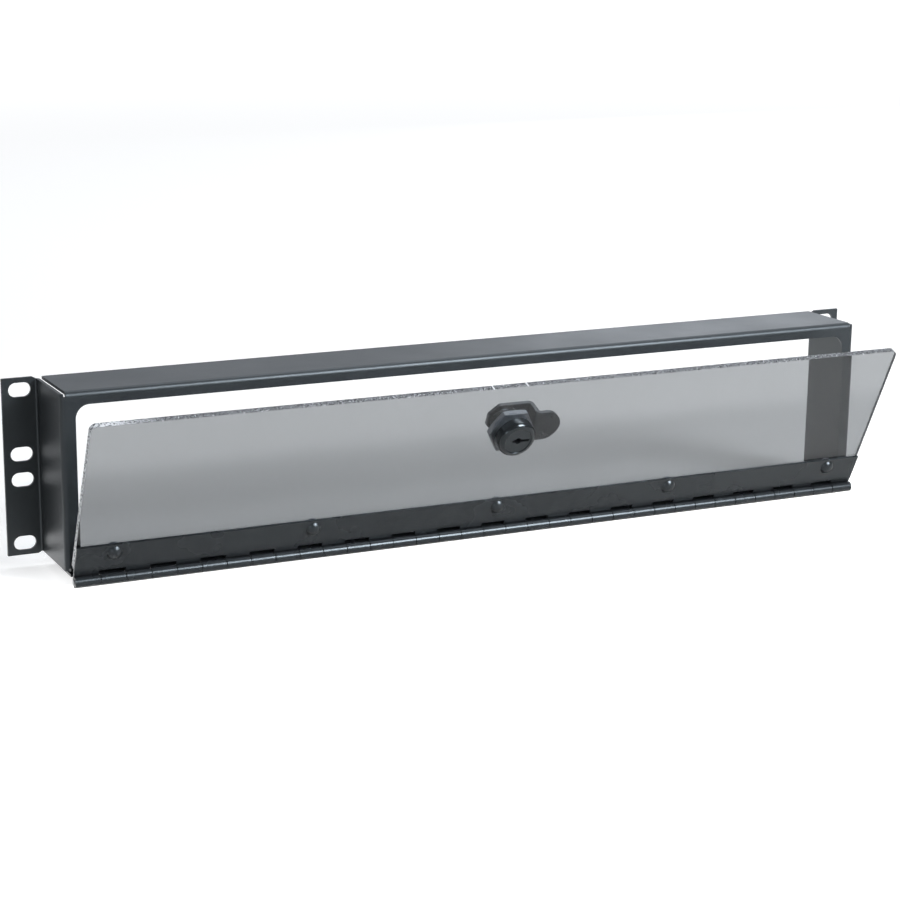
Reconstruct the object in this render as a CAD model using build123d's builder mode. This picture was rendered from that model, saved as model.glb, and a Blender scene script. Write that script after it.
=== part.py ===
from build123d import *
import math
import os

os.makedirs("parts", exist_ok=True)

# Rack security cover, two rack units high. A folded steel frame bolts into a 19 inch rack, and a smoked
# acrylic door closes its window: it hangs on a continuous hinge along the foot and has a cam lock.
# Sizes are in millimetres. X runs across the rack, Y towards its back and Z up. The origin is the middle
# of the rack slots, on the rear face of the ears. The door stands part open, with its cam turned aside.

# Rack ears
rack_width = 482.6
rack_height = 88.1
slot_inset = 8.75
slot_row_inset = 5.95
slot_rows_inner = 12.7
slot_length = 11.1
slot_width = 7.1

# Folded frame
sheet = 1.5
bend_inside = 1.0
ear_reach = 17.2
box_depth = 39.6
lip_width_top = 6.65
lip_width_side = 7.2
window_corner = 6.8
flange_setback = 2.6
side_setback = 1.1
relief_width = 1.0
ear_slant = 2.1

# Continuous hinge
leaf_sheet = 1.2
leaf_width = 19.6
leaf_notch = 4.6
pin_radius = 1.5
pin_clearance = 0.05
pin_stand = 0.3
knuckle_pitch = 12.7
knuckle_gap = 0.4
roll_angle = 290

# Door panel
panel_thickness = 3.2
panel_height = 86.9
panel_corner = 3.3
panel_foot = 3.4
door_gap = 0.25
door_angle = 25.0

# Rivets and their backing washers
rivet_count = 5
rivet_inset = 19.05
rivet_head_radius = 3.9
rivet_head_height = 2.2
rivet_shank_radius = 1.6
rivet_hole_clearance = 0.1
rivet_tail_radius = 2.6
rivet_tail_height = 0.9
washer_radius = 3.9
washer_thickness = 0.8
washer_clearance = 1.1

# Cam lock
lock_height = 57.15
lock_offset = -1.3
bezel_radius = 10.2
bezel_height = 6.0
bezel_shoulder = 2.6
bezel_lip = 0.3
body_radius = 8.0
body_flats = 13.8
body_length = 13.0
lock_hole_clearance = 0.1
plug_head_radius = 7.1
plug_head_depth = 2.4
plug_radius = 5.6
plug_recess = 0.4
plug_square = 7.5
running_clearance = 0.05
axial_play = 0.1
keyway_length = 9.3
keyway_width = 1.4
keyway_depth = 3.4
keyway_offset = 1.5
keyway_eye_radius = 1.8
nut_flats = 22.2
nut_thickness = 3.5
nut_chamfer = 0.6

# Cam, its stop washer and its screw
stop_radius = 7.8
stop_thickness = 1.2
stop_step = 1.5
lug_side = 180
lug_angle = 60
turn_angle = 90
stop_slack = 1.0
cam_thickness = 2.0
cam_width = 17.0
cam_corner = 5.2
cam_bend_inside = 0.8
cam_nut_gap = 0.7
cam_lip_gap = 0.4
cam_top_gap = 0.65
spring_washer_radius = 5.4
spring_washer_thickness = 0.9
screw_radius = 1.95
screw_length = 10.0
screw_head_radius = 4.2
screw_head_height = 2.4
screw_cross_length = 4.4
screw_cross_width = 0.9
screw_cross_depth = 1.2

# Lines of the folded frame
slot_span = rack_width - 2 * slot_inset
slot_rows_outer = rack_height - 2 * slot_row_inset
box_width = rack_width - 2 * ear_reach
half_width = box_width / 2
half_height = rack_height / 2
front_y = -(sheet + box_depth)
front_middle = front_y + sheet / 2
bend_middle = bend_inside + sheet / 2
bend_outside = bend_inside + sheet
flange_end = half_width - flange_setback
side_end = half_height - side_setback
window_half_width = half_width - lip_width_side
window_half_height = half_height - lip_width_top

# Lines of the hinge: the barrel hangs under the frame's foot, and the closed panel lies behind the leaf.
# An odd number of knuckles fills the box's width, so both ends belong to the door.
knuckle_count = 2 * int((box_width / knuckle_pitch - 1) / 2) + 1
barrel_radius = pin_radius + pin_clearance + leaf_sheet
barrel_middle = barrel_radius - leaf_sheet / 2
hinge_length = knuckle_pitch * knuckle_count
knuckle_length = knuckle_pitch - knuckle_gap
hinge_y = front_y - door_gap - panel_thickness - barrel_radius
hinge_z = -(half_height + barrel_radius)
hinge_axis = (0, hinge_y, hinge_z)
knuckle_centres = [knuckle_pitch * (i - (knuckle_count - 1) / 2) for i in range(knuckle_count)]

# Planes of the door: in door_plane x runs across, y up the door and z out of its face
opening = math.radians(door_angle)
door_down = (0, math.sin(opening), -math.cos(opening))
door_back = (0, math.cos(opening), math.sin(opening))
door_out = (0, -math.cos(opening), -math.sin(opening))
door_plane = Plane(origin=hinge_axis, x_dir=(1, 0, 0), z_dir=door_out)
door_section = Plane(origin=hinge_axis, x_dir=door_back, z_dir=(1, 0, 0))
frame_section = Plane(origin=hinge_axis, x_dir=(0, 0, 1), z_dir=(-1, 0, 0))

# Rivet row: its washers just clear the window's lower edge when the door is shut
rivet_pitch = (hinge_length - 2 * rivet_inset) / (rivet_count - 1)
rivet_height = washer_radius + washer_clearance - window_half_height - hinge_z
rivet_places = [rivet_pitch * (i - (rivet_count - 1) / 2) for i in range(rivet_count)]
leaf_face = leaf_sheet - barrel_radius
panel_back = -(barrel_radius + panel_thickness)

# Lock: heights are counted out of the panel's front face, on the lock's axis
lock_axis_height = panel_foot + lock_height
lock_centre = door_plane.from_local_coords((lock_offset, lock_axis_height, -barrel_radius))
lock_plane = Plane(origin=lock_centre, x_dir=(1, 0, 0), z_dir=door_out)
lock_section = Plane(origin=lock_centre, x_dir=(1, 0, 0), z_dir=door_down)
lock_axis = Axis(lock_centre, door_out)
plug_bore_radius = plug_radius + running_clearance
face_bore_radius = plug_head_radius + running_clearance
plug_face = bezel_height - plug_recess
head_seat = plug_face - plug_head_depth
nut_corner = nut_flats / math.sqrt(3)
stop_front = -(body_length + axial_play)
cam_front = stop_front - stop_thickness
cam_back = cam_front - cam_thickness
cam_middle = cam_front - cam_thickness / 2
lip_back = -(door_gap + panel_thickness + sheet)
tip_middle = lip_back - cam_lip_gap - cam_thickness / 2
cam_leg = nut_corner + cam_nut_gap + cam_thickness / 2
cam_bend_middle = cam_bend_inside + cam_thickness / 2
cam_reach = half_height - sheet - cam_top_gap - (hinge_z + lock_axis_height)
square_hole = plug_square + 2 * running_clearance
screw_seat = cam_back - spring_washer_thickness


def write_step(piece, name):
    """Labels a finished piece and writes it to its own file."""
    piece.part.label = name
    export_step(piece.part, f"parts/{name}.step")


def hinge_leaf(section, centres):
    """One leaf with its rolled knuckles: in the section x points to the leaf's side and y along the leaf."""
    with BuildPart() as leaf:
        with BuildSketch(section):
            with Locations((barrel_middle, (leaf_notch + leaf_width) / 2)):
                Rectangle(leaf_sheet, leaf_width - leaf_notch)
        extrude(amount=hinge_length / 2, both=True)
        for centre in centres:
            with BuildSketch(section.offset(centre)):
                with BuildLine():
                    Line((barrel_middle, leaf_notch), (barrel_middle, 0))
                    CenterArc((0, 0), barrel_middle, 0, -roll_angle)
                trace(line_width=leaf_sheet)
            extrude(amount=knuckle_length / 2, both=True)
    return leaf


def double_d(radius, flats):
    """A circle with two flats, as on the lock's body and its hole."""
    with BuildSketch() as outline:
        Circle(radius)
        Rectangle(2 * radius, flats, mode=Mode.INTERSECT)
    return outline.sketch


def sector(inner, outer, start, size):
    """A piece of a flat ring, from a start angle over a size in degrees."""
    with BuildSketch() as outline:
        with BuildLine():
            arc = CenterArc((0, 0), outer, start, size)
            Line((0, 0), arc @ 0)
            Line(arc @ 1, (0, 0))
        make_face()
        Circle(inner, mode=Mode.SUBTRACT)
    return outline.sketch


# Frame: one folded sheet with a window in its front
with BuildPart() as frame:
    with BuildSketch(Plane.YZ):
        with BuildLine():
            FilletPolyline(
                (-sheet, half_height - sheet / 2),
                (front_middle, half_height - sheet / 2),
                (front_middle, sheet / 2 - half_height),
                (-sheet, sheet / 2 - half_height),
                radius=bend_middle,
            )
        trace(line_width=sheet)
    extrude(amount=flange_end, both=True)
    # Side flanges with the ears bent out of their rear edges
    with BuildSketch(Plane.XY):
        with BuildLine():
            FilletPolyline(
                (flange_end, front_middle),
                (half_width - sheet / 2, front_middle),
                (half_width - sheet / 2, -sheet / 2),
                (rack_width / 2, -sheet / 2),
                radius=bend_middle,
            )
        trace(line_width=sheet)
        mirror(about=Plane.YZ)
    extrude(amount=half_height, both=True)
    # Open corner seams: the sides stop short of the top and foot, with a notch at the bends
    with BuildSketch(Plane.XZ):
        with BuildLine():
            Polyline(
                (flange_end, half_height - bend_outside),
                (flange_end + relief_width, half_height - bend_outside),
                (flange_end + relief_width, side_end),
                (half_width, side_end),
                (half_width + ear_slant, half_height),
                (half_width + ear_slant, half_height + sheet),
                (flange_end, half_height + sheet),
                close=True,
            )
        make_face()
        mirror(about=Plane.YZ)
        mirror(about=Plane.XZ)
    extrude(amount=sheet + box_depth, mode=Mode.SUBTRACT)
    with BuildSketch(Plane.XZ):
        RectangleRounded(2 * window_half_width, 2 * window_half_height, window_corner)
    extrude(amount=sheet + box_depth, mode=Mode.SUBTRACT)
    with BuildSketch(Plane.XZ):
        for rows in (slot_rows_outer, slot_rows_inner):
            with GridLocations(slot_span, rows, 2, 2):
                SlotOverall(slot_length, slot_width)
    extrude(amount=sheet, mode=Mode.SUBTRACT)
write_step(frame, "frame")

# Hinge: the door's leaf has the first knuckle and every second one, the frame's leaf those between
hinge_frame_leaf = hinge_leaf(frame_section, knuckle_centres[1::2])
write_step(hinge_frame_leaf, "hinge_frame_leaf")

with BuildPart() as hinge_door_leaf:
    add(hinge_leaf(door_section, knuckle_centres[0::2]).part)
    with BuildSketch(door_plane):
        with Locations((0, rivet_height)):
            with GridLocations(rivet_pitch, 0, rivet_count, 1):
                Circle(rivet_shank_radius + rivet_hole_clearance)
    extrude(amount=-barrel_radius, mode=Mode.SUBTRACT)
write_step(hinge_door_leaf, "hinge_door_leaf")

with BuildPart() as hinge_pin:
    with BuildSketch(frame_section):
        Circle(pin_radius)
    extrude(amount=hinge_length / 2 + pin_stand, both=True)
    chamfer(hinge_pin.edges().filter_by(GeomType.CIRCLE), pin_stand)
write_step(hinge_pin, "hinge_pin")

# Door panel: a smoked sheet behind the leaf, drilled for the rivets and the lock
with BuildPart() as door_panel:
    with BuildSketch(door_plane.offset(-barrel_radius)):
        with Locations((0, panel_foot + panel_height / 2)):
            RectangleRounded(hinge_length, panel_height, panel_corner)
        with Locations((0, rivet_height)):
            with GridLocations(rivet_pitch, 0, rivet_count, 1):
                Circle(rivet_shank_radius + rivet_hole_clearance, mode=Mode.SUBTRACT)
        with Locations((lock_offset, lock_axis_height)):
            hole_flats = body_flats + 2 * lock_hole_clearance
            add(double_d(body_radius + lock_hole_clearance, hole_flats), mode=Mode.SUBTRACT)
    extrude(amount=-panel_thickness)
write_step(door_panel, "door_panel")

# Rivets with low domed heads, each clinched over a washer behind the panel
dome_radius = (rivet_head_radius**2 + rivet_head_height**2) / (2 * rivet_head_height)
tail_seat = panel_back - washer_thickness
for number, place in enumerate(rivet_places, start=1):
    rivet_centre = door_plane.from_local_coords((place, rivet_height, 0))
    rivet_section = Plane(origin=rivet_centre, x_dir=(1, 0, 0), z_dir=door_down)
    with BuildPart() as rivet:
        with BuildSketch(rivet_section):
            with BuildLine():
                head_top = (0, leaf_face + rivet_head_height)
                RadiusArc(head_top, (rivet_head_radius, leaf_face), dome_radius)
                Polyline(
                    (rivet_head_radius, leaf_face),
                    (rivet_shank_radius, leaf_face),
                    (rivet_shank_radius, tail_seat),
                    (rivet_tail_radius, tail_seat),
                    (rivet_shank_radius, tail_seat - rivet_tail_height),
                    (0, tail_seat - rivet_tail_height),
                    head_top,
                )
            make_face()
        revolve(axis=Axis(rivet_centre, door_out))
    write_step(rivet, f"door_rivet_{number}")

    with BuildPart() as rivet_washer:
        with BuildSketch(Plane(origin=rivet_centre, x_dir=(1, 0, 0), z_dir=door_out).offset(panel_back)):
            Circle(washer_radius)
            Circle(rivet_shank_radius + rivet_hole_clearance, mode=Mode.SUBTRACT)
        extrude(amount=-washer_thickness)
    write_step(rivet_washer, f"rivet_washer_{number}")

# Lock housing: a round bezel in front, a flatted body through the panel and a stop lug at its rear end
with BuildPart() as lock_housing:
    with BuildSketch(lock_section):
        with BuildLine():
            shoulder = RadiusArc(
                (bezel_radius - bezel_shoulder, bezel_height),
                (bezel_radius, bezel_height - bezel_shoulder),
                bezel_shoulder,
            )
            Polyline(
                shoulder @ 1,
                (bezel_radius, 0),
                (body_radius, 0),
                (body_radius, -body_length),
                (plug_bore_radius, -body_length),
                (plug_bore_radius, head_seat - running_clearance),
                (face_bore_radius, head_seat - running_clearance),
                (face_bore_radius, bezel_height - bezel_lip),
                (face_bore_radius + bezel_lip, bezel_height),
                shoulder @ 0,
            )
        make_face()
    revolve(axis=lock_axis)
    with BuildSketch(lock_plane):
        Circle(body_radius + lock_hole_clearance)
        add(double_d(body_radius + lock_hole_clearance, body_flats), mode=Mode.SUBTRACT)
    extrude(amount=-body_length, mode=Mode.SUBTRACT)
    with BuildSketch(lock_plane.offset(-body_length)):
        add(sector(stop_radius - stop_step, stop_radius, lug_side - lug_angle / 2, lug_angle))
        Rectangle(2 * body_radius, body_flats, mode=Mode.INTERSECT)
    extrude(amount=-(axial_play + stop_thickness))
write_step(lock_housing, "lock_housing")

with BuildPart() as lock_nut:
    with BuildSketch(lock_plane.offset(-panel_thickness)):
        RegularPolygon(nut_corner, 6)
        Circle(body_radius + running_clearance, mode=Mode.SUBTRACT)
    extrude(amount=-nut_thickness)
    with BuildSketch(lock_section):
        with BuildLine():
            Polyline(
                (nut_corner, -panel_thickness - nut_thickness),
                (nut_corner, -panel_thickness - nut_thickness + nut_chamfer),
                (nut_flats / 2, -panel_thickness - nut_thickness),
                close=True,
            )
        make_face()
    revolve(axis=lock_axis, mode=Mode.SUBTRACT)
write_step(lock_nut, "lock_nut")

# Plug: the key side in front, a round barrel in the housing and a square end that carries the cam
with BuildPart() as lock_plug:
    with BuildSketch(lock_section):
        with BuildLine():
            Polyline(
                (0, plug_face),
                (plug_head_radius, plug_face),
                (plug_head_radius, head_seat),
                (plug_radius, head_seat),
                (plug_radius, -body_length),
                (0, -body_length),
                close=True,
            )
        make_face()
    revolve(axis=lock_axis)
    with BuildSketch(lock_plane.offset(-body_length)):
        Rectangle(plug_square, plug_square)
    extrude(amount=cam_middle + body_length)
    with BuildSketch(lock_plane.offset(plug_face)):
        with Locations((keyway_offset, 0)):
            Rectangle(keyway_length, keyway_width)
        Circle(keyway_eye_radius)
    extrude(amount=-keyway_depth, mode=Mode.SUBTRACT)
    with BuildSketch(lock_plane.offset(screw_seat)):
        Circle(screw_radius + running_clearance)
    extrude(amount=screw_length, mode=Mode.SUBTRACT)
write_step(lock_plug, "lock_plug")

# Stop washer: a step in its rim runs against the housing's lug and limits the turn
with BuildPart() as cam_stop_washer:
    with BuildSketch(lock_plane.offset(stop_front)):
        Circle(stop_radius)
        step_start = lug_side - lug_angle / 2 - turn_angle - stop_slack
        step_size = lug_angle + turn_angle + 2 * stop_slack
        step_depth = stop_step + running_clearance
        add(sector(stop_radius - step_depth, stop_radius + sheet, step_start, step_size), mode=Mode.SUBTRACT)
        Rectangle(square_hole, square_hole, mode=Mode.SUBTRACT)
    extrude(amount=-stop_thickness)
write_step(cam_stop_washer, "cam_stop_washer")

# Cam: a strap stepped forward so that its tip comes close behind the frame's top lip
with BuildPart() as cam:
    with BuildSketch(lock_section):
        with BuildLine():
            FilletPolyline(
                (-cam_width / 2, cam_middle),
                (cam_leg, cam_middle),
                (cam_leg, tip_middle),
                (cam_reach, tip_middle),
                radius=cam_bend_middle,
            )
        trace(line_width=cam_thickness)
    extrude(amount=cam_width / 2, both=True)
    with BuildSketch(lock_plane) as cam_blank:
        with Locations(((cam_reach - cam_width / 2) / 2, 0)):
            Rectangle(cam_reach + cam_width / 2, cam_width)
        chamfer(cam_blank.vertices(), cam_corner)
    extrude(amount=cam_back, mode=Mode.INTERSECT)
    with BuildSketch(lock_plane.offset(cam_front)):
        Rectangle(square_hole, square_hole)
    extrude(amount=-cam_thickness, mode=Mode.SUBTRACT)
write_step(cam, "cam")

with BuildPart() as cam_spring_washer:
    with BuildSketch(lock_plane.offset(cam_back)):
        Circle(spring_washer_radius)
        Circle(screw_radius + running_clearance, mode=Mode.SUBTRACT)
    extrude(amount=-spring_washer_thickness)
write_step(cam_spring_washer, "cam_spring_washer")

with BuildPart() as cam_screw:
    with BuildSketch(lock_plane.offset(screw_seat)):
        Circle(screw_head_radius)
    extrude(amount=-screw_head_height)
    fillet(cam_screw.edges().filter_by(GeomType.CIRCLE).sort_by(lock_axis)[0], screw_head_height / 3)
    with BuildSketch(lock_plane.offset(screw_seat - screw_head_height)):
        Rectangle(screw_cross_length, screw_cross_width)
        Rectangle(screw_cross_width, screw_cross_length)
    extrude(amount=screw_cross_depth, mode=Mode.SUBTRACT)
    with BuildSketch(lock_plane.offset(screw_seat)):
        Circle(screw_radius)
    extrude(amount=screw_length - running_clearance)
write_step(cam_screw, "cam_screw")
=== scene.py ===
"""Rack security cover: materials, lock details, light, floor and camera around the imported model."""
import math

import bmesh
import bpy
from mathutils import Matrix, Vector


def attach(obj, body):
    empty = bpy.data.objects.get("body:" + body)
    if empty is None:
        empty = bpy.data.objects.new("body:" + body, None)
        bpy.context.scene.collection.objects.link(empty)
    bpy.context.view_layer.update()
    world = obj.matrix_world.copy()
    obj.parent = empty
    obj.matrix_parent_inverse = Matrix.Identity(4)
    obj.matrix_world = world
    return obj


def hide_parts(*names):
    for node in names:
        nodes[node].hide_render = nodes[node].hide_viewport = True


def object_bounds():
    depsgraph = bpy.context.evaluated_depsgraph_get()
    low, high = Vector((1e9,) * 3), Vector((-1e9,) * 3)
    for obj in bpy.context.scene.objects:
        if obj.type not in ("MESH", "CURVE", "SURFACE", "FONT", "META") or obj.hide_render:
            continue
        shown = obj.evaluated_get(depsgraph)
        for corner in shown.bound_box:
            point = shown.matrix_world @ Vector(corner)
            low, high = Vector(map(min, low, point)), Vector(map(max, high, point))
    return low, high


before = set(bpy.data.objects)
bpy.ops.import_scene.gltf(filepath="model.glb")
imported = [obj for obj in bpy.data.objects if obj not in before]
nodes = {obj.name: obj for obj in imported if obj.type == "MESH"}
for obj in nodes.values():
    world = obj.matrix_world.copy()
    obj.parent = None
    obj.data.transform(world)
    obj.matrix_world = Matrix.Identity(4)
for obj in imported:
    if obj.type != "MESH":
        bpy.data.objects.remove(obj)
cad_low, cad_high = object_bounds()

# Metres in a millimetre
MM = 0.001
ACROSS = (1, 0, 0)
INTO_RACK = (0, 1, 0)

# Colours
WHITE = (1.0, 1.0, 1.0, 1.0)
COOL = (0.945, 1.0, 1.075)
COAT_SHEEN = (0.87, 0.96, 1.0, 1.0)
SMOKE = (0.345, 0.355, 0.362, 1.0)
LIGHT_THROUGH_SMOKE = (0.34, 0.36, 0.385, 1.0)
BENCH = (0.93, 0.9, 0.86, 1.0)

# The door's own directions at rest: it stands 25 degrees open about the hinge line
OPENING = math.radians(25.0)
HINGE = Vector((0, -47.3, -46.8)) * MM
DOOR_UP = Vector((0, -math.sin(OPENING), math.cos(OPENING)))
DOOR_OUT = Vector((0, -math.cos(OPENING), -math.sin(OPENING)))

# Where the lock's axis meets the panel's outer face: millimetres over, behind and aside of the hinge's middle
LOCK_HEIGHT = 60.55
FACE_SETBACK = 2.75
LOCK_OFFSET = -1.3
LOCK_CENTRE = HINGE + (DOOR_UP * LOCK_HEIGHT - DOOR_OUT * FACE_SETBACK + Vector((LOCK_OFFSET, 0, 0))) * MM

# Lock housing, in millimetres
PANEL_THICKNESS = 3.2
BODY_LENGTH = 13.0
BODY_FLAT = 6.9
THREAD_ROOT = 7.75
THREAD_CREST = 8.0
THREAD_PITCH = 1.0
PLUG_BORE = 5.65


# Camera

def add_camera():
    """The photograph's camera, from a fit to the rack's standard sizes."""
    image_side = 900
    sensor = 36.0
    eye = Vector((-505.083, -1021.278, 267.716)) * MM
    yaw, pitch, roll = math.radians(25.498), math.radians(14.664), math.radians(-0.473)
    focal, centre_x, centre_y = 2218.83, 422.0, 478.0
    forward = Vector((math.sin(yaw) * math.cos(pitch), math.cos(yaw) * math.cos(pitch), -math.sin(pitch)))
    level = Vector((math.cos(yaw), -math.sin(yaw), 0))
    down = forward.cross(level)
    right = math.cos(roll) * level + math.sin(roll) * down
    down = math.cos(roll) * down - math.sin(roll) * level
    data = bpy.data.cameras.new("camera")
    data.sensor_width = sensor
    data.lens = focal / image_side * sensor
    data.shift_x = 0.5 - centre_x / image_side
    data.shift_y = centre_y / image_side - 0.5
    data.clip_start = 0.05
    data.clip_end = 50
    camera = bpy.data.objects.new("camera", data)
    bpy.context.scene.collection.objects.link(camera)
    turn = Matrix((right, -down, -forward)).transposed().to_4x4()
    camera.matrix_world = Matrix.Translation(eye) @ turn
    bpy.context.scene.camera = camera


# Materials

class NodeTree:
    """The nodes of a material or of the world: most helpers add one node and return its output."""

    def __init__(self, owner):
        owner.use_nodes = True
        self.owner = owner
        self.nodes = owner.node_tree.nodes
        self.links = owner.node_tree.links
        self.nodes.clear()

    def add(self, kind, **settings):
        node = self.nodes.new(kind)
        for key, value in settings.items():
            setattr(node, key, value)
        return node

    def set(self, socket, value):
        """Links a node's output, or writes a plain value."""
        if isinstance(value, bpy.types.NodeSocket):
            self.links.new(value, socket)
        else:
            socket.default_value = value

    def coords(self, output="Object"):
        return self.add("ShaderNodeTexCoord").outputs[output]

    def rays(self):
        """Outputs that tell camera, glossy, transmission and shadow rays apart."""
        return self.add("ShaderNodeLightPath").outputs

    def math(self, operation, a, b=0.0, clamp=False):
        node = self.add("ShaderNodeMath", operation=operation, use_clamp=clamp)
        self.set(node.inputs[0], a)
        self.set(node.inputs[1], b)
        return node.outputs[0]

    def vector(self, operation, a, b):
        """The number that two vectors give, such as their dot product or distance."""
        node = self.add("ShaderNodeVectorMath", operation=operation)
        self.set(node.inputs[0], a)
        self.set(node.inputs[1], b)
        return node.outputs["Value"]

    def noise(self, scale, detail=2.0, roughness=0.5, stretch=(1, 1, 1)):
        place = self.add("ShaderNodeMapping")
        self.set(place.inputs["Vector"], self.coords())
        self.set(place.inputs["Scale"], stretch)
        node = self.add("ShaderNodeTexNoise")
        self.set(node.inputs["Vector"], place.outputs[0])
        self.set(node.inputs["Scale"], scale)
        self.set(node.inputs["Detail"], detail)
        self.set(node.inputs["Roughness"], roughness)
        return node.outputs["Fac"]

    def span(self, value, low, high, to_low=0.0, to_high=1.0, smooth=False):
        """Maps the values from low to high onto those from to_low to to_high, and holds its ends."""
        node = self.add("ShaderNodeMapRange", interpolation_type="SMOOTHSTEP" if smooth else "LINEAR")
        self.set(node.inputs["Value"], value)
        for name, number in (("From Min", low), ("From Max", high), ("To Min", to_low), ("To Max", to_high)):
            self.set(node.inputs[name], number)
        return node.outputs["Result"]

    def mix(self, factor, a, b, kind="RGBA"):
        node = self.add("ShaderNodeMix", data_type=kind)
        self.set(node.inputs["Factor"], factor)
        self.set(node.inputs["A"], a)
        self.set(node.inputs["B"], b)
        return node.outputs["Result"]

    def mix_shaders(self, factor, a, b):
        node = self.add("ShaderNodeMixShader")
        for socket, source in zip(node.inputs, (factor, a, b)):
            self.set(socket, source)
        return node.outputs[0]

    def bump(self, height, distance, strength):
        node = self.add("ShaderNodeBump")
        self.set(node.inputs["Strength"], strength)
        self.set(node.inputs["Distance"], distance)
        self.set(node.inputs["Height"], height)
        return node.outputs["Normal"]

    def shader(self, kind, **values):
        """A shader node with values for its sockets, whose names are written with underscores."""
        node = self.add(kind)
        for name, value in values.items():
            self.set(node.inputs[name.replace("_", " ")], value)
        return node.outputs[0]

    def finish(self, shader, kind="ShaderNodeOutputMaterial"):
        self.set(self.add(kind).inputs["Surface"], shader)
        return self.owner


def new_material(name):
    return NodeTree(bpy.data.materials.new(name))


def grey(level, tint=0.08):
    """A slightly blue grey, as all the paint and metal here is."""
    return (level * (1 - tint), level, level * (1 + tint), 1.0)


def powder_coat(name, level, roughness, grain=0.12 * MM, shine=0.5):
    """Satin black powder coat: fine orange peel, faint cloudy gloss and a few pale specks of dust."""
    tree = new_material(name)
    cloud = tree.noise(scale=28, detail=3, roughness=0.55)
    peel = tree.noise(scale=1500)
    dust = tree.span(tree.noise(scale=2600, detail=1), 0.74, 0.78, 0.0, 0.3)
    colour = tree.mix(tree.span(cloud, 0.3, 0.7), grey(level * 0.9), grey(level * 1.1))
    colour = tree.mix(dust, colour, grey(0.12))
    return tree.finish(tree.shader(
        "ShaderNodeBsdfPrincipled",
        Base_Color=colour,
        Roughness=tree.span(cloud, 0.3, 0.7, roughness - 0.03, roughness + 0.03),
        Specular_IOR_Level=shine,
        Specular_Tint=COAT_SHEEN,
        Normal=tree.bump(peel, distance=grain, strength=0.35),
    ))


def plated_steel(name, level, roughness, metallic=1.0):
    """Plated or blackened metal with fine rolling lines and stained patches."""
    tree = new_material(name)
    patch = tree.noise(scale=260, detail=3, roughness=0.6)
    lines = tree.noise(scale=900, stretch=(0.15, 1, 1))
    return tree.finish(tree.shader(
        "ShaderNodeBsdfPrincipled",
        Base_Color=tree.mix(tree.span(patch, 0.35, 0.7), grey(level, 0.03), grey(level * 0.72, 0.02)),
        Metallic=metallic,
        Roughness=tree.span(patch, 0.3, 0.7, roughness - 0.06, roughness + 0.08),
        Normal=tree.bump(lines, distance=0.03 * MM, strength=0.4),
    ))


def sawn_edge(tree):
    """The sheet's saw-cut edge: dark grit with pale chips, whiter towards the left end."""
    grit = tree.noise(scale=1250, roughness=0.7)
    chips = tree.noise(scale=950, roughness=0.7)
    colour = tree.mix(tree.span(grit, 0.46, 0.54), grey(0.015, 0.02), grey(0.21, 0.02))
    colour = tree.mix(tree.span(chips, 0.60, 0.64), colour, grey(0.55, 0.0))
    across = tree.vector("DOT_PRODUCT", tree.coords(), ACROSS)
    left_end = tree.span(across, -185 * MM, -215 * MM)
    whiter = tree.math("MULTIPLY", left_end, tree.span(chips, 0.44, 0.52))
    colour = tree.mix(whiter, colour, grey(0.8, 0.0))
    # Two pale nicks across the top edge, at the middle and 18.8 mm left of it
    for nick in (0.0, -18.8 * MM):
        off = tree.math("ABSOLUTE", tree.math("SUBTRACT", across, nick))
        colour = tree.mix(tree.span(off, 0.3 * MM, 0.5 * MM, 1.0, 0.0), colour, grey(0.75, 0.0))
    return tree.shader(
        "ShaderNodeBsdfPrincipled",
        Base_Color=colour,
        Roughness=0.5,
        Normal=tree.bump(grit, distance=0.4 * MM, strength=0.8),
    )


def smoked_acrylic():
    """Smoked see-through sheet: polished faces with faint hazing, and gritty saw-cut edges."""
    tree = new_material("smoked_acrylic")
    haze = tree.noise(scale=18, detail=3, roughness=0.6)
    face = tree.shader(
        "ShaderNodeBsdfPrincipled",
        Base_Color=SMOKE,
        Roughness=tree.span(haze, 0.35, 0.7, 0.012, 0.03),
        IOR=1.42,
        Transmission_Weight=1.0,
    )
    facing = tree.math("ABSOLUTE", tree.vector("DOT_PRODUCT", tree.coords("Normal"), DOOR_OUT))
    on_edge = tree.span(facing, 0.5, 0.6, 1.0, 0.0)
    sheet = tree.mix_shaders(on_edge, face, sawn_edge(tree))
    # Lamp light passes through the sheet, dimmed by its tint
    clear = tree.shader("ShaderNodeBsdfTransparent", Color=LIGHT_THROUGH_SMOKE)
    return tree.finish(tree.mix_shaders(tree.rays()["Is Shadow Ray"], sheet, clear))


# CAD nodes

def add_weld(node, reach):
    """Joins a node's split vertices, so that the modifier after it doesn't tear its edges."""
    weld = node.modifiers.new("weld", "WELD")
    weld.merge_threshold = reach


def soften_edges(name, width):
    """Breaks a node's sharp edges by a small round, as deburring and paint leave them."""
    node = nodes[name]
    add_weld(node, 0.002 * MM)
    bevel = node.modifiers.new("edges", "BEVEL")
    bevel.width = width
    bevel.segments = 2
    bevel.limit_method = "ANGLE"
    bevel.angle_limit = math.radians(50)
    bevel.use_clamp_overlap = True
    bevel.harden_normals = True


def leave_air(name, gap):
    """Leaves a hair of air all round a sheet, so that what it touches shows through it."""
    node = nodes[name]
    add_weld(node, 0.01 * MM)
    air = node.modifiers.new("air", "DISPLACE")
    air.strength = -gap
    air.mid_level = 0.0


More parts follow.
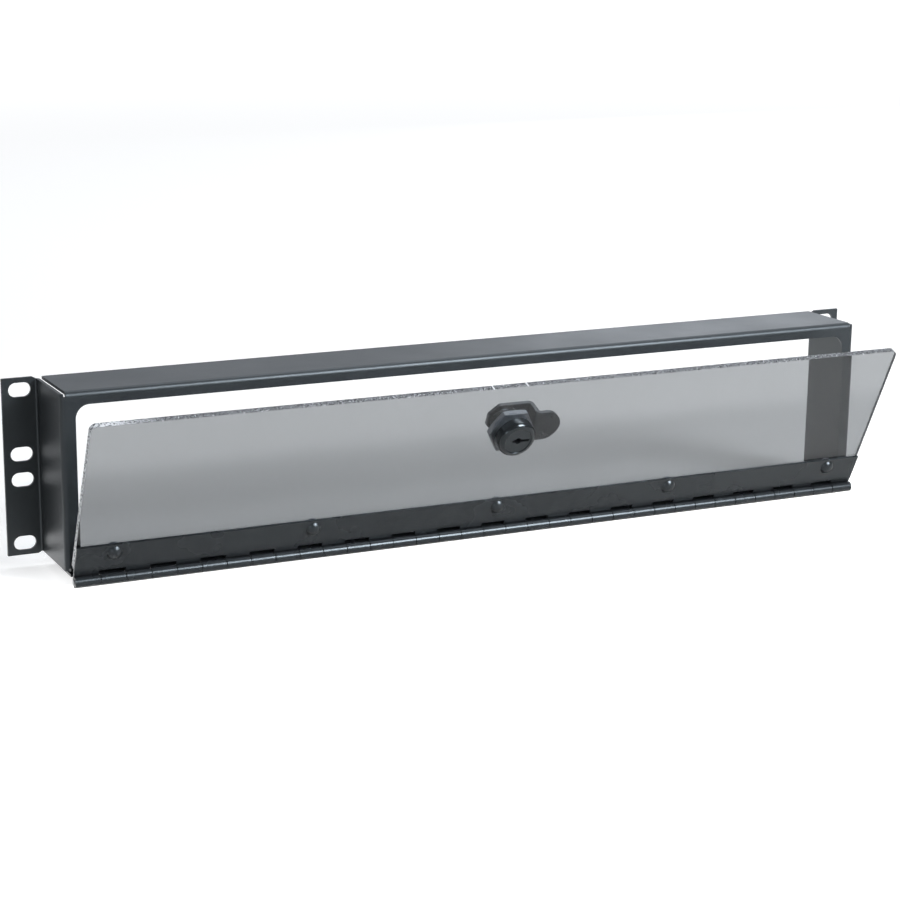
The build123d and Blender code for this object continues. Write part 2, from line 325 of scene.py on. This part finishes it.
def dress_nodes():
    """Gives every CAD solid that is shown its material, and makes the two pieces that replace one."""
    coat = powder_coat("frame_coat", level=0.016, roughness=0.42)
    hinge_coat = powder_coat("hinge_coat", level=0.016, roughness=0.27, shine=0.38)
    rivet_coat = powder_coat("rivet_coat", level=0.008, roughness=0.32)
    acrylic = smoked_acrylic()
    pin = plated_steel("pin_steel", level=0.30, roughness=0.35)
    washer = plated_steel("washer_steel", level=0.42, roughness=0.32)
    aluminium = plated_steel("washer_aluminium", level=0.72, roughness=0.35)
    bezel = powder_coat("bezel_gloss", level=0.008, roughness=0.17, grain=0.03 * MM)
    plug = powder_coat("plug_satin", level=0.013, roughness=0.36)
    nut = plated_steel("nut_steel", level=0.6, roughness=0.5, metallic=0.3)
    cam = plated_steel("cam_steel", level=0.17, roughness=0.3, metallic=0.9)
    screw = plated_steel("screw_steel", level=0.38, roughness=0.3)
    chosen = {
        "frame": coat,
        "hinge_frame_leaf": hinge_coat,
        "hinge_door_leaf": hinge_coat,
        "hinge_pin": pin,
        "door_panel": acrylic,
        "lock_plug": plug,
        "lock_nut": nut,
        "cam": cam,
        "cam_stop_washer": washer,
        "cam_spring_washer": washer,
        "cam_screw": screw,
    }
    for number in range(1, 6):
        chosen[f"door_rivet_{number}"] = rivet_coat
        chosen[f"rivet_washer_{number}"] = aluminium
    for name, material in chosen.items():
        for place in nodes[name].material_slots:
            place.material = material
    soften_edges("lock_plug", 0.2 * MM)
    soften_edges("lock_nut", 0.25 * MM)
    pressed_cam(cam)
    lock_housing(bezel)
    leave_air("door_panel", 0.03 * MM)


# Lock parts with more form than the CAD model's

def add_piece(name, mesh, material, body, node):
    """Makes an object of the bmesh, shown in place of a CAD node, on that node's body."""
    bmesh.ops.recalc_face_normals(mesh, faces=mesh.faces)
    data = bpy.data.meshes.new(name)
    mesh.to_mesh(data)
    mesh.free()
    data.materials.append(material)
    for face in data.polygons:
        face.use_smooth = True
    data.set_sharp_from_angle(angle=math.radians(35))
    piece = bpy.data.objects.new(name, data)
    bpy.context.scene.collection.objects.link(piece)
    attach(piece, body)
    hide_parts(node)


def folded_edges(mesh, least):
    """The edges whose two faces turn by more than this many degrees."""
    return [e for e in mesh.edges if len(e.link_faces) == 2 and e.calc_face_angle() > math.radians(least)]


def edges_through(mesh, side):
    """The folded edges through the cam's thickness, on its tip's side (1) or its heel's (-1)."""
    least_along, least_length = 0.999, 1.5 * MM
    found = []
    for edge in folded_edges(mesh, 30):
        span = edge.verts[1].co - edge.verts[0].co
        along = abs(span.normalized().dot(DOOR_OUT))
        if along >= least_along and span.length >= least_length and edge.verts[0].co.x * side > 0:
            found.append(edge)
    return found


def round_edges(mesh, edges, reach, segments, clamp=False):
    bmesh.ops.bevel(
        mesh,
        geom=edges,
        offset=reach,
        offset_type="OFFSET",
        segments=segments,
        profile=0.5,
        affect="EDGES",
        clamp_overlap=clamp,
    )


def pressed_cam(material):
    """The cam with its tip rounded and its edges broken, made from the CAD node's own mesh."""
    tip_radius, heel_radius, edge_break = 7.2 * MM, 1.6 * MM, 0.25 * MM
    node = nodes["cam"]
    mesh = bmesh.new()
    mesh.from_mesh(node.data)
    mesh.transform(node.matrix_world)
    bmesh.ops.remove_doubles(mesh, verts=mesh.verts, dist=0.002 * MM)
    bmesh.ops.dissolve_limit(mesh, angle_limit=math.radians(0.5), verts=mesh.verts, edges=mesh.edges)
    # The tip points along +X, and the cut corners turn by 45 degrees each
    half_turn = math.radians(22.5)
    for side, radius in ((1, tip_radius), (-1, heel_radius)):
        round_edges(mesh, edges_through(mesh, side), radius * math.tan(half_turn), segments=6)
    round_edges(mesh, folded_edges(mesh, 60), edge_break, segments=3, clamp=True)
    bmesh.ops.dissolve_degenerate(mesh, edges=mesh.edges, dist=0.001 * MM)
    add_piece("cam_pressed", mesh, material, "lock", "cam")


def lock_point(radius, angle, out, flat=math.inf):
    """A point about the lock's axis, out of the panel's face; flats cut it off above and below."""
    up = max(-flat, min(flat, radius * math.sin(angle)))
    return LOCK_CENTRE + (Vector((radius * math.cos(angle), 0, 0)) + DOOR_UP * up + DOOR_OUT * out) * MM


def add_band(mesh, here, there):
    """Closes the strip between two rings of vertices."""
    for i in range(len(here)):
        j = (i + 1) % len(here)
        mesh.faces.new((here[i], there[i], there[j], here[j]))


def bezel_profile():
    """Radius and height from behind the panel, over the rounded bezel and into the plug's bore."""
    radius, seat_break, shoulder, top = 10.2, 0.15, 3.2, 6.0
    rim, mouth, recess_floor = 7.4, 7.15, 3.15
    arc_steps = 14
    points = [
        (THREAD_CREST, -PANEL_THICKNESS),
        (THREAD_CREST, 0.0),
        (radius - seat_break, 0.0),
        (radius, seat_break),
        (radius, shoulder),
    ]
    for step in range(1, arc_steps + 1):
        angle = math.radians(90 * step / arc_steps)
        points.append((rim + (radius - rim) * math.cos(angle), shoulder + (top - shoulder) * math.sin(angle)))
    points += [
        (mouth + 0.15, top - 0.05),
        (mouth, top - 0.3),
        (mouth, recess_floor),
        (PLUG_BORE, recess_floor),
    ]
    return points


def thread_profile():
    """Radius and height from the bore's rear end, along the threads, to the panel's back."""
    chamfer = 0.3
    # One thread: its radii, and their shares of the pitch
    thread = ((THREAD_ROOT, 0.2), (THREAD_CREST, 0.5), (THREAD_CREST, 0.62), (THREAD_ROOT, 0.92))
    height = chamfer - BODY_LENGTH
    points = [(PLUG_BORE, -BODY_LENGTH), (THREAD_ROOT - chamfer, -BODY_LENGTH), (THREAD_ROOT, height)]
    while height < -PANEL_THICKNESS - THREAD_PITCH:
        points += [(radius, height + share * THREAD_PITCH) for radius, share in thread]
        height += THREAD_PITCH
    points.append((THREAD_ROOT, -PANEL_THICKNESS - 0.1))
    return points


def add_stop_lug(mesh):
    """The lug on the housing's rear end, beside the stop washer's step."""
    first_angle, angle_step, count = 150, 5, 13
    inner, middle, outer = 6.3, 7.4, 7.75
    slope, depth = 1.0, 1.3
    section = ((inner, 0.0), (middle, 0.0), (outer, slope), (outer, depth), (inner, depth))
    rings = []
    for turn in range(count):
        angle = math.radians(first_angle + angle_step * turn)
        points = [lock_point(radius, angle, -BODY_LENGTH - behind) for radius, behind in section]
        rings.append([mesh.verts.new(point) for point in points])
    for here, there in zip(rings, rings[1:]):
        add_band(mesh, here, there)
    mesh.faces.new(rings[0])
    mesh.faces.new(list(reversed(rings[-1])))


def lock_housing(material):
    """The cast housing: rounded bezel, threaded body with two flats and the stop lug on its rear end."""
    turns = 144
    profile = bezel_profile() + thread_profile()
    mesh = bmesh.new()
    rings = []
    for turn in range(turns):
        angle = math.radians(360 / turns * turn)
        ring = []
        for radius, out in profile:
            on_body = out < 0 and radius > PLUG_BORE
            flat = BODY_FLAT if on_body else math.inf
            ring.append(mesh.verts.new(lock_point(radius, angle, out, flat)))
        rings.append(ring)
    for turn in range(turns):
        add_band(mesh, rings[turn], rings[(turn + 1) % turns])
    add_stop_lug(mesh)
    add_piece("lock_housing_cast", mesh, material, "door", "lock_housing")


# Floor, world and lamps

def floor_material(level, edge):
    """Pale floor that keeps the cover's shadow and is lifted to white away from it; it also carries painted
    light and a painted reflection.
    """
    tree = new_material("floor_white")
    rays = tree.rays()
    depth = tree.vector("DOT_PRODUCT", tree.coords(), INTO_RACK)
    across = tree.vector("DOT_PRODUCT", tree.coords(), ACROSS)
    # The camera sees it whiter with the distance from the cover, and towards its front edge: there, painted
    # light washes out the cover's shadow
    away = tree.span(tree.vector("DISTANCE", tree.coords(), (0, 0, 0)), 0.6, 4.0, 0.2, 0.8)
    painted_light_at_front = tree.span(depth, edge, 0.03, 0.6, 0.0, smooth=True)
    to_camera = tree.math("MULTIPLY", rays["Is Camera Ray"], tree.math("ADD", away, painted_light_at_front))
    # Painted light: through the sheet the floor is lifted whiter only further behind the cover, so nearer it
    # the floor stays darker, partly real shadow and partly painted shade
    painted_light_far_behind = tree.span(depth, 0.13, 0.19, 0.0, 0.24, smooth=True)
    painted_light_through_sheet = tree.math("MULTIPLY", rays["Is Transmission Ray"], painted_light_far_behind)
    # Painted reflection: polished and painted faces see it glow brighter behind the cover than before it, and
    # by its left foot, where no lamp is
    behind = tree.span(depth, 0.0, 0.12, 0.0, 1.5)
    inside = tree.span(across, -0.22, 0.0)
    left_foot = tree.vector("DISTANCE", tree.coords(), (-0.25, 0.0, level))
    painted_glow_by_foot = tree.span(left_foot, 0.03, 0.16, 1.2, 0.0)
    glow = tree.math("MAXIMUM", tree.math("MULTIPLY", behind, inside), painted_glow_by_foot)
    mirrored = tree.math("SUBTRACT", rays["Is Glossy Ray"], rays["Is Transmission Ray"], clamp=True)
    painted_reflection = tree.math("MULTIPLY", mirrored, glow)
    strength = tree.math("MAXIMUM", tree.math("MAXIMUM", to_camera, painted_light_through_sheet), painted_reflection)
    both = tree.add("ShaderNodeAddShader")
    tree.set(both.inputs[0], tree.shader("ShaderNodeBsdfDiffuse", Color=BENCH))
    tree.set(both.inputs[1], tree.shader("ShaderNodeEmission", Strength=strength))
    return tree.finish(both.outputs[0])


def add_floor():
    """A pale bench under the cover, with a step down in front of it where the folded door hangs."""
    level = cad_low.z - 0.5 * MM
    edge = -40 * MM
    foot = -150 * MM
    reach = 8.0
    section = ((reach, level), (edge, level), (edge, foot), (-reach, foot))
    points = [(x, y, z) for y, z in section for x in (-reach, reach)]
    mesh = bpy.data.meshes.new("floor")
    mesh.from_pydata(points, [], [(i, i + 2, i + 3, i + 1) for i in (0, 2, 4)])
    floor = bpy.data.objects.new("floor", mesh)
    bpy.context.scene.collection.objects.link(floor)
    mesh.materials.append(floor_material(level, edge))


def add_world():
    """A soft surround, brighter behind the cover, that shows as plain white to the camera."""
    world = bpy.data.worlds.new("studio")
    bpy.context.scene.world = world
    tree = NodeTree(world)
    rays = tree.rays()
    seen = tree.math("MAXIMUM", rays["Is Camera Ray"], rays["Is Transmission Ray"])
    depth = tree.vector("DOT_PRODUCT", tree.coords("Generated"), INTO_RACK)
    glow = tree.span(depth, 0.2, 0.8, 0.38, 0.78)
    background = tree.shader(
        "ShaderNodeBackground",
        Strength=tree.mix(seen, glow, 1.0, kind="FLOAT"),
        Color=tree.mix(rays["Is Camera Ray"], (*COOL, 1.0), WHITE),
    )
    tree.finish(background, "ShaderNodeOutputWorld")


def add_lamp(name, place, width, height, power, aim=(0, 0, 0), gloss_only=False):
    """A soft rectangular lamp; a gloss_only one gives no diffuse light, and shows on shiny faces."""
    data = bpy.data.lights.new(name, "AREA")
    data.shape = "RECTANGLE"
    data.size = width
    data.size_y = height
    data.energy = power
    data.color = COOL
    lamp = bpy.data.objects.new(name, data)
    lamp.location = place
    lamp.rotation_mode = "QUATERNION"
    lamp.rotation_quaternion = (Vector(aim) - Vector(place)).to_track_quat("-Z", "Y")
    lamp.visible_camera = False
    lamp.visible_diffuse = not gloss_only
    bpy.context.scene.collection.objects.link(lamp)


def add_light():
    """The world and five lamps: places and sizes in metres, powers in watts."""
    add_world()
    add_lamp("front_right", (0.70, -1.28, 0.84), 0.7, 0.7, power=20)
    add_lamp("overhead", (0.65, 0.40, 1.5), 1.3, 0.9, power=10)
    add_lamp("gloss_right", (0.66, -1.28, 0.68), 0.6, 0.6, power=26, gloss_only=True)
    add_lamp("gloss_left", (-1.12, -1.15, 0.10), 0.3, 0.3, power=2.5, gloss_only=True)
    add_lamp("back_right", (2.05, 1.9, 0.7), 2.0, 1.2, power=7.5, aim=(2.05, 0, 0.7))


add_camera()
dress_nodes()
add_floor()
add_light()
bpy.context.scene.view_settings.view_transform = "Standard"
